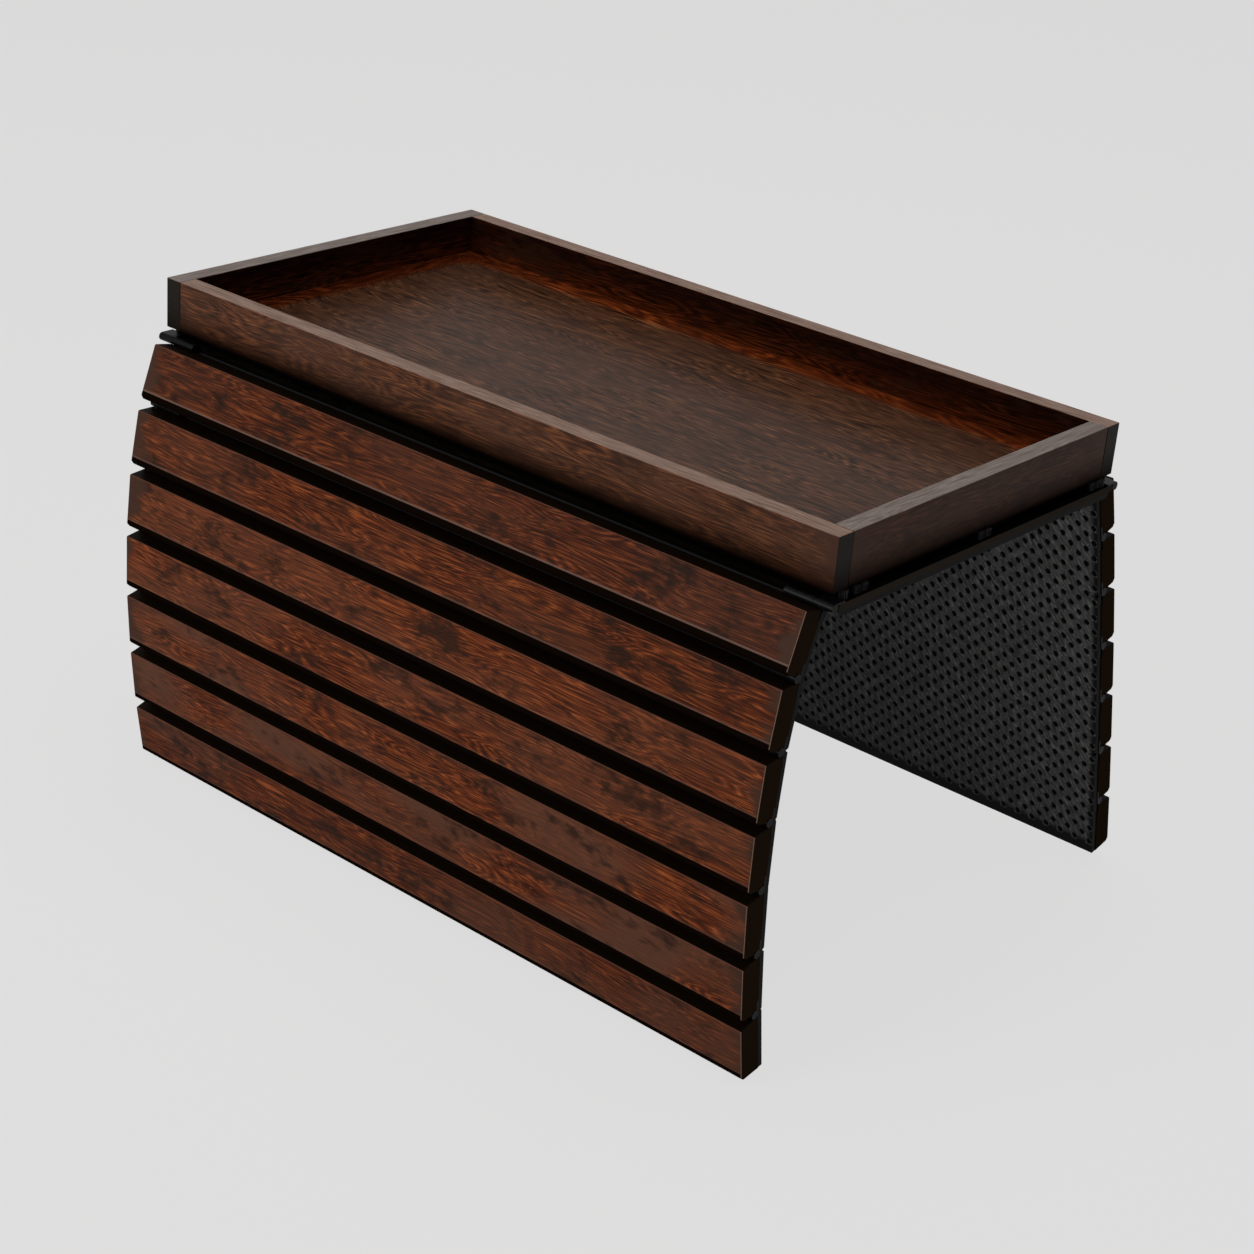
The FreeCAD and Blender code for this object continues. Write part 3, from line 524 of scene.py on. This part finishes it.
def strip_edge(wing, number):
    """The inner corners of a solid mat strip's section, as Y and Z, at its head and its foot."""
    strip = nodes[f"{wing}_mat_{number}"].data
    points = {(round(v.co.y / MM, 2), round(v.co.z / MM, 2)) for v in strip.vertices}
    ordered = sorted(points, key=lambda point: -point[1])
    head = max(ordered[:2], key=lambda point: point[0] * INWARD[wing])
    foot = max(ordered[2:], key=lambda point: point[0] * INWARD[wing])
    return Vector(head), Vector(foot)


def slat_ways(wing, number):
    """The way a slat's outer side looks, square to its mat strip, the way from its head to its foot, and how
    far the slat reaches that way."""
    head, foot = strip_edge(wing, number)
    along = (foot - head).normalized()
    face = (0, along.y * INWARD[wing], -along.x * INWARD[wing])
    down = Vector((0, *along))
    return face, down, max(vertex.co.dot(down) for vertex in nodes[f"{wing}_slat_{number}"].data.vertices)


def give(name, material):
    """Puts a finish on a node of the solid model."""
    nodes[name].data.materials.clear()
    nodes[name].data.materials.append(material)


for side, recipe in RAILS.items():
    give(f"{side}_rail", rail_walnut(f"walnut_{side}_rail", *recipe))
give("tray_liner", lining_walnut("walnut_lining", LINING_SEED))
for node, recipe in HIDDEN_WOODS.items():
    give(node, hidden_wood(*recipe))
for node in ("frame_screws", "tray_screws"):
    give(node, screw_finish)
for order, wing in enumerate(WINGS):
    give(f"{wing}_board_hinges", hinge_finish)
    slat_shares = zip(SLAT_SHADE_SHARES, SLAT_DULL_SHARES, SLAT_HIGHLIGHT_SHARES)
    for place, (number, shares) in enumerate(zip(SLATS, slat_shares)):
        seed = SLAT_SEED + place + len(SLATS) * order
        finish = slat_walnut(f"walnut_{wing}_slat_{number}", seed, *slat_ways(wing, number), *shares)
        give(f"{wing}_slat_{number}", finish)
        give(f"{wing}_hinges_{number}", hinge_finish)


# Modelling aids


def start(add_primitive, name, **settings):
    """Adds a primitive by itself, in object mode."""
    if bpy.context.object and bpy.context.object.mode != "OBJECT":
        bpy.ops.object.mode_set(mode="OBJECT")
    bpy.ops.object.select_all(action="DESELECT")
    add_primitive(**settings)
    piece = bpy.context.object
    piece.name = name
    piece.data.name = name
    return piece


def pick_faces(piece, wanted):
    """Selects the faces that the test picks, and opens edit mode on them."""
    bpy.ops.object.mode_set(mode="EDIT")
    bpy.ops.mesh.select_mode(type="FACE")
    bpy.ops.mesh.select_all(action="DESELECT")
    bpy.ops.object.mode_set(mode="OBJECT")
    for face in piece.data.polygons:
        face.select = wanted(face)
    bpy.ops.object.mode_set(mode="EDIT")


def close(piece, name, material, slot, body, *replaced):
    """Finishes a piece: its name, its material, and the body that it rides on."""
    if piece.mode != "OBJECT":
        bpy.ops.object.mode_set(mode="OBJECT")
    piece.name = name
    piece.data.name = name
    piece.data.materials.clear()
    piece.data.materials.append(material)
    if replaced:
        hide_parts(*replaced)
    if body:
        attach(piece, body)


# Dimpled mats


def mat_slab(columns, rows, first_row, hems):
    """A flat slab of mat: columns of cells along X, rows along Y from zero, its face at the height zero and
    its back below. Every other cell holds an oval dimple, like a chequerboard. The rows at a hem are left
    plain and dark, as the cut ends are."""
    piece = start(bpy.ops.mesh.primitive_grid_add, "mat", x_subdivisions=columns, y_subdivisions=rows, size=1)
    width, height = columns * MAT_CELL, rows * MAT_CELL
    piece.data.transform(Matrix.Translation((0, height / 2, 0)) @ Matrix.Diagonal((width, height, 1, 1)))
    wall = piece.modifiers.new("thickness", "SOLIDIFY")
    wall.thickness = MAT_DEPTH
    wall.offset = -1.0
    bpy.ops.object.modifier_apply(modifier=wall.name)

    def cell_of(point):
        return math.floor((point.x + width / 2) / MAT_CELL), math.floor(point.y / MAT_CELL)

    def holds_dimple(face):
        column, row = cell_of(face.center)
        return face.normal.z > FACING_SHARE and row not in hems and (column + row + first_row) % 2 == 0

    pick_faces(piece, holds_dimple)
    bpy.ops.mesh.inset(thickness=(MAT_CELL - DIMPLE_SIDE) / 2, use_individual=True)
    bpy.ops.mesh.bevel(offset=DIMPLE_CORNER, affect="VERTICES", segments=1)
    bpy.ops.object.mode_set(mode="OBJECT")
    pick_faces(piece, lambda face: len(face.vertices) == DIMPLE_CORNERS and face.normal.z > FACING_SHARE)
    bpy.ops.mesh.inset(thickness=DIMPLE_TAPER, depth=-DIMPLE_DEPTH, use_individual=True)
    bpy.ops.object.mode_set(mode="OBJECT")
    # Marks the dimples' floors for painted shade, and the cut ends and hems, which are also drawn nearly
    # black
    shaded_dimples_and_edges = piece.data.attributes.new("shaded_dimples_and_edges", "FLOAT", "POINT")
    for vertex, value in zip(piece.data.vertices, shaded_dimples_and_edges.data):
        at_end = width / 2 - abs(vertex.co.x) < MAT_CELL * EDGE_SHARE
        at_hem = any(abs(vertex.co.y - (hem + 0.5) * MAT_CELL) < MAT_CELL * HEM_SHARE for hem in hems)
        value.value = 1.0 if vertex.co.z < -DIMPLE_DEPTH / 2 or at_end or at_hem else 0.0
        column, row = cell_of(vertex.co)
        middle = Vector(((column + 0.5) * MAT_CELL - width / 2, (row + 0.5) * MAT_CELL, 0))
        offset = vertex.co - middle
        if max(abs(offset.x), abs(offset.y)) < MAT_CELL * DIMPLE_SHARE and vertex.co.z > -MAT_DEPTH / 2:
            vertex.co.x = middle.x + offset.x * DIMPLE_STRETCH_SHARES[0]
            vertex.co.y = middle.y + offset.y * DIMPLE_STRETCH_SHARES[1]
    return piece


def nick_ends(piece, joint):
    """Nicks the corners of a flat slab's two ends where it will bend over a hinge."""
    half = max(vertex.co.x for vertex in piece.data.vertices)
    for place in (joint - NICK_WIDTH / 2, joint, joint + NICK_WIDTH / 2):
        pick_faces(piece, lambda face: abs(face.center.x) > half - MAT_CELL)
        bpy.ops.mesh.bisect(plane_co=(0, place, 0), plane_no=(0, 1, 0))
        bpy.ops.object.mode_set(mode="OBJECT")
    for vertex in piece.data.vertices:
        at_end = half - abs(vertex.co.x) < MAT_CELL * EDGE_SHARE
        if at_end and abs(vertex.co.y - joint) < NICK_WIDTH * NICK_SHARE and vertex.co.z > -MAT_DEPTH / 2:
            vertex.co.z = -NICK_DEPTH


def wing_line(wing):
    """The line that the face of a wing's mat follows across X, from its head to its foot, as Y and Z. Its
    corners lie midway between one solid strip and the next."""
    edges = [strip_edge(wing, number) for number in SLATS]
    line = [edges[0][0]]
    for (_, foot), (head, _) in zip(edges, edges[1:]):
        line.append((foot + head) / 2)
    return line + [edges[-1][1]]


def lay_along(piece, line, inward, shift):
    """Lays a flat slab along a wing's line, the slab's Y measured down the line from the shift."""
    lengths = [(b - a).length for a, b in zip(line, line[1:])]
    starts = [sum(lengths[:i]) for i in range(len(lengths))]
    ways = [(b - a).normalized() for a, b in zip(line, line[1:])]
    for vertex in piece.data.vertices:
        down = vertex.co.y + shift
        step = max(i for i, begin in enumerate(starts) if begin <= max(down, 0.0))
        place = line[step] + ways[step] * (down - starts[step])
        way = ways[step]
        for near, begin in enumerate(starts[1:], start=1):
            if abs(down - begin) < FLEX_REACH:
                share = (down - begin + FLEX_REACH) / (2 * FLEX_REACH)
                way = ways[near - 1].lerp(ways[near], share).normalized()
        across = place + Vector((-way.y, way.x)) * inward * vertex.co.z
        vertex.co = Vector((vertex.co.x * inward, across.x, across.y)) * MM
    piece.data.update()


def base_edge():
    """Where the base mat's long edges end: its half width, and its depth, which its mitre follows."""
    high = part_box("base_mat")[1]
    return high.y / MM, high.z / MM


def wing_mats(wing):
    """The mat of one wing, in pieces that run from the middle of one slat to the middle of the next and
    bend across the hinge between them. The first hangs from the edge of the mat under the board."""
    line = wing_line(wing)
    half_width, depth = base_edge()
    lengths = [(b - a).length for a, b in zip(line, line[1:])]
    total = sum(lengths)
    low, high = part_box(f"{wing}_mat_4")
    columns = round((high.x - low.x) / MM / MAT_CELL)
    whole = round(total / MAT_CELL)
    middles = [round((sum(lengths[:i]) + length / 2) / total * whole) for i, length in enumerate(lengths)]
    edges = [0] + middles + [whole]
    for index, (first, last) in enumerate(zip(edges, edges[1:])):
        rows = last - first
        hems = {0} if first == 0 else {rows - 1} if last == whole else set()
        piece = mat_slab(columns, rows, first, hems)
        rim = {vertex.index: vertex.co.z < -MAT_DEPTH / 2 for vertex in piece.data.vertices
               if first == 0 and vertex.co.y < MAT_CELL * EDGE_SHARE}
        fill = ((high.x - low.x) / MM / (columns * MAT_CELL), total / (whole * MAT_CELL))
        piece.data.transform(Matrix.Diagonal((*fill, 1, 1)))
        shift = first * total / whole
        if 0 < index < len(SLATS):
            nick_ends(piece, sum(lengths[:index]) - shift)
        lay_along(piece, line, INWARD[wing], shift)
        for place, at_back in rim.items():
            out, up = (half_width, depth) if at_back else (half_width - depth, 0)
            piece.data.vertices[place].co.yz = (-INWARD[wing] * out * MM, up * MM)
        name = f"{wing}_mat_sheet_{index + 1}"
        if first == 0:
            close(piece, name, mat_finish, "grip_mat", None)
            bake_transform(piece)
        elif last == whole:
            close(piece, name, mat_finish, "grip_mat", f"{wing}_wing_{index}", f"{wing}_mat_{index}")
        else:
            close(piece, name, mat_finish, "grip_mat", None, f"{wing}_mat_{index}")
            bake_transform(piece)


def base_mat():
    """The mat under the board: the same dimpled rubber, its face down on the sofa arm, its long edges
    mitred."""
    low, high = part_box("base_mat")
    columns = round((high.x - low.x) / MM / MAT_CELL)
    half_width, depth = base_edge()
    rows = round(2 * (half_width - depth) / MAT_CELL)
    piece = mat_slab(columns, rows, 0, {0, rows - 1})
    half = rows * MAT_CELL / 2
    stretch = (high.x - low.x) / MM / (columns * MAT_CELL)
    for vertex in piece.data.vertices:
        back = vertex.co.z < -MAT_DEPTH / 2
        across = (vertex.co.y - half) / half * (half_width if back else half_width - depth)
        vertex.co = Vector((-vertex.co.x * stretch, across, depth if back else -vertex.co.z)) * MM
    piece.data.update()
    close(piece, "base_mat_sheet", mat_finish, "grip_mat", "tray", "base_mat")


# Posts and blocks between the tray and its board


def clusters(name):
    """The lowest and the highest corner of each separate block in a node of the solid model."""
    groups = []
    for vertex in nodes[name].data.vertices:
        near = next((g for g in groups if (g[0] - vertex.co).length < BLOCK_REACH * MM), None)
        if near is None:
            groups.append([vertex.co.copy()])
        else:
            near.append(vertex.co.copy())
    return [(Vector(map(min, zip(*group))), Vector(map(max, zip(*group)))) for group in groups]


def copies_at(model, places):
    """Copies of a model, each with its own mesh, joined as one piece."""
    made = []
    for place in places:
        bpy.ops.object.select_all(action="DESELECT")
        model.select_set(True)
        bpy.context.view_layer.objects.active = model
        bpy.ops.object.duplicate()
        copy = bpy.context.object
        copy.data.transform(Matrix.Translation(place))
        made.append(copy)
    bpy.data.objects.remove(model)
    bpy.ops.object.select_all(action="DESELECT")
    for copy in made:
        copy.select_set(True)
    bpy.context.view_layer.objects.active = made[0]
    bpy.ops.object.join()
    return made[0]


def tray_posts():
    """The round steel posts near the corners, ridged all round."""
    boxes = clusters("tray_standoffs")
    low, high = boxes[0]
    radius, height = (high.x - low.x) / 2, high.z - low.z
    sides = 2 * POST_RIDGES
    model = start(bpy.ops.mesh.primitive_cylinder_add, "post", vertices=sides, radius=radius, depth=height)
    step = 2 * math.pi / sides

    def is_groove(face):
        turn = math.atan2(face.center.y, face.center.x) % (2 * math.pi)
        return abs(face.normal.z) < FACING_SHARE and math.floor(turn / step) % 2 == 0

    pick_faces(model, is_groove)
    bpy.ops.mesh.inset(thickness=POST_GROOVE_EDGE * MM, depth=-POST_GROOVE * MM, use_individual=True)
    bpy.ops.object.mode_set(mode="OBJECT")
    pick_faces(model, lambda face: abs(face.normal.z) > FACING_SHARE and len(face.vertices) > 4)
    bpy.ops.mesh.inset(thickness=POST_EASE * MM, use_individual=True)
    bpy.ops.object.mode_set(mode="OBJECT")
    piece = copies_at(model, [(a + b) / 2 for a, b in boxes])
    close(piece, "ridged_posts", post_finish, "black_steel", "tray", "tray_standoffs")


def tray_blocks():
    """The rubber blocks at the ends: rounded, with a shallow moulded recess in the outer face."""
    boxes = clusters("tray_bumpers")
    low, high = boxes[0]
    size = high - low
    model = start(bpy.ops.mesh.primitive_cube_add, "block", size=1)
    model.data.transform(Matrix.Diagonal((*size, 1)))
    pick_faces(model, lambda face: abs(face.normal.x) > FACING_SHARE)
    bpy.ops.mesh.inset(thickness=BLOCK_RIM * MM, use_individual=True)
    bpy.ops.mesh.inset(thickness=BLOCK_RECESS * MM, depth=-BLOCK_RECESS * MM, use_individual=True)
    bpy.ops.object.mode_set(mode="OBJECT")
    rounding = model.modifiers.new("round", "BEVEL")
    rounding.width = BLOCK_ROUND * MM
    rounding.segments = BLOCK_ROUND_STEPS
    rounding.limit_method = "ANGLE"
    rounding.angle_limit = math.radians(SHARP_ANGLE)
    bpy.ops.object.modifier_apply(modifier=rounding.name)
    bpy.ops.object.shade_smooth_by_angle(angle=math.radians(SMOOTH_ANGLE))
    piece = copies_at(model, [(a + b) / 2 for a, b in boxes])
    close(piece, "rubber_blocks", block_finish, "bumper_rubber", "tray", "tray_bumpers")


for wing in WINGS:
    wing_mats(wing)
base_mat()
tray_posts()
tray_blocks()


# Studio


def place_camera():
    """The camera, tilted a little as the view is."""
    data = bpy.data.cameras.new("camera")
    data.lens = CAMERA_LENS
    camera = bpy.data.objects.new("camera", data)
    bpy.context.scene.collection.objects.link(camera)
    look = (CAMERA_AIM - CAMERA_PLACE).to_track_quat("-Z", "Y")
    tilt = Matrix.Rotation(math.radians(CAMERA_ROLL), 4, "Z").to_quaternion()
    camera.rotation_mode = "QUATERNION"
    camera.rotation_quaternion = look @ tilt
    camera.location = CAMERA_PLACE * MM
    bpy.context.scene.camera = camera


def soft_lamp(name, place, aim, side, watts):
    """A square soft box."""
    data = bpy.data.lights.new(name, "AREA")
    data.shape = "SQUARE"
    data.size = side * MM
    data.energy = watts
    lamp = bpy.data.objects.new(name, data)
    bpy.context.scene.collection.objects.link(lamp)
    lamp.location = place * MM
    lamp.rotation_mode = "QUATERNION"
    lamp.rotation_quaternion = (aim - place).to_track_quat("-Z", "Y")


def shown_rays(tree):
    """1 for the rays that show the background: from the camera, off gloss and through glass."""
    rays = add(tree, "ShaderNodeLightPath").outputs
    shown = rays["Is Camera Ray"]
    for other in ("Is Glossy Ray", "Is Transmission Ray"):
        shown = add(tree, "ShaderNodeMath", {0: shown, 1: rays[other]}, operation="MAXIMUM").outputs[0]
    return shown


def pale_floor():
    """A wide plain floor under the wings, as pale as the surround, that takes a faint shadow."""
    floor = start(bpy.ops.mesh.primitive_plane_add, "studio_floor", size=FLOOR_SIDE * MM)
    floor.data.transform(Matrix.Translation((0, 0, cad_low.z - FLOOR_DROP * MM)))
    material, tree, output = new_material("pale_studio_paper")
    paper = add(tree, "ShaderNodeBsdfDiffuse", {"Color": linear(STUDIO_PALE)})
    glow = add(tree, "ShaderNodeEmission", {"Color": linear(STUDIO_PALE), "Strength": 1.0})
    seen = add(tree, "ShaderNodeMath", {0: shown_rays(tree), 1: FLOOR_GLOW_SHARE},
               operation="MULTIPLY").outputs[0]
    mixed = add(tree, "ShaderNodeMixShader", {0: seen, 1: paper.outputs[0], 2: glow.outputs[0]})
    tree.links.new(mixed.outputs[0], output.inputs["Surface"])
    floor.data.materials.append(material)


def soft_surround():
    """An even surround: pale where it is seen, dim where it only lights the object."""
    world = bpy.data.worlds.new("studio_surround")
    world.use_nodes = True
    tree = world.node_tree
    tree.nodes.clear()
    output = add(tree, "ShaderNodeOutputWorld")
    light = add(tree, "ShaderNodeBackground", {"Color": linear("#ffffff"), "Strength": SURROUND_LIGHT})
    shown = add(tree, "ShaderNodeBackground", {"Color": linear(STUDIO_PALE), "Strength": 1.0})
    mixed = add(tree, "ShaderNodeMixShader", {0: shown_rays(tree), 1: light.outputs[0], 2: shown.outputs[0]})
    tree.links.new(mixed.outputs[0], output.inputs["Surface"])
    bpy.context.scene.world = world


place_camera()
pale_floor()
soft_surround()
for name, settings in LAMPS.items():
    soft_lamp(name, *settings)

bpy.context.scene.view_settings.view_transform = "Standard"
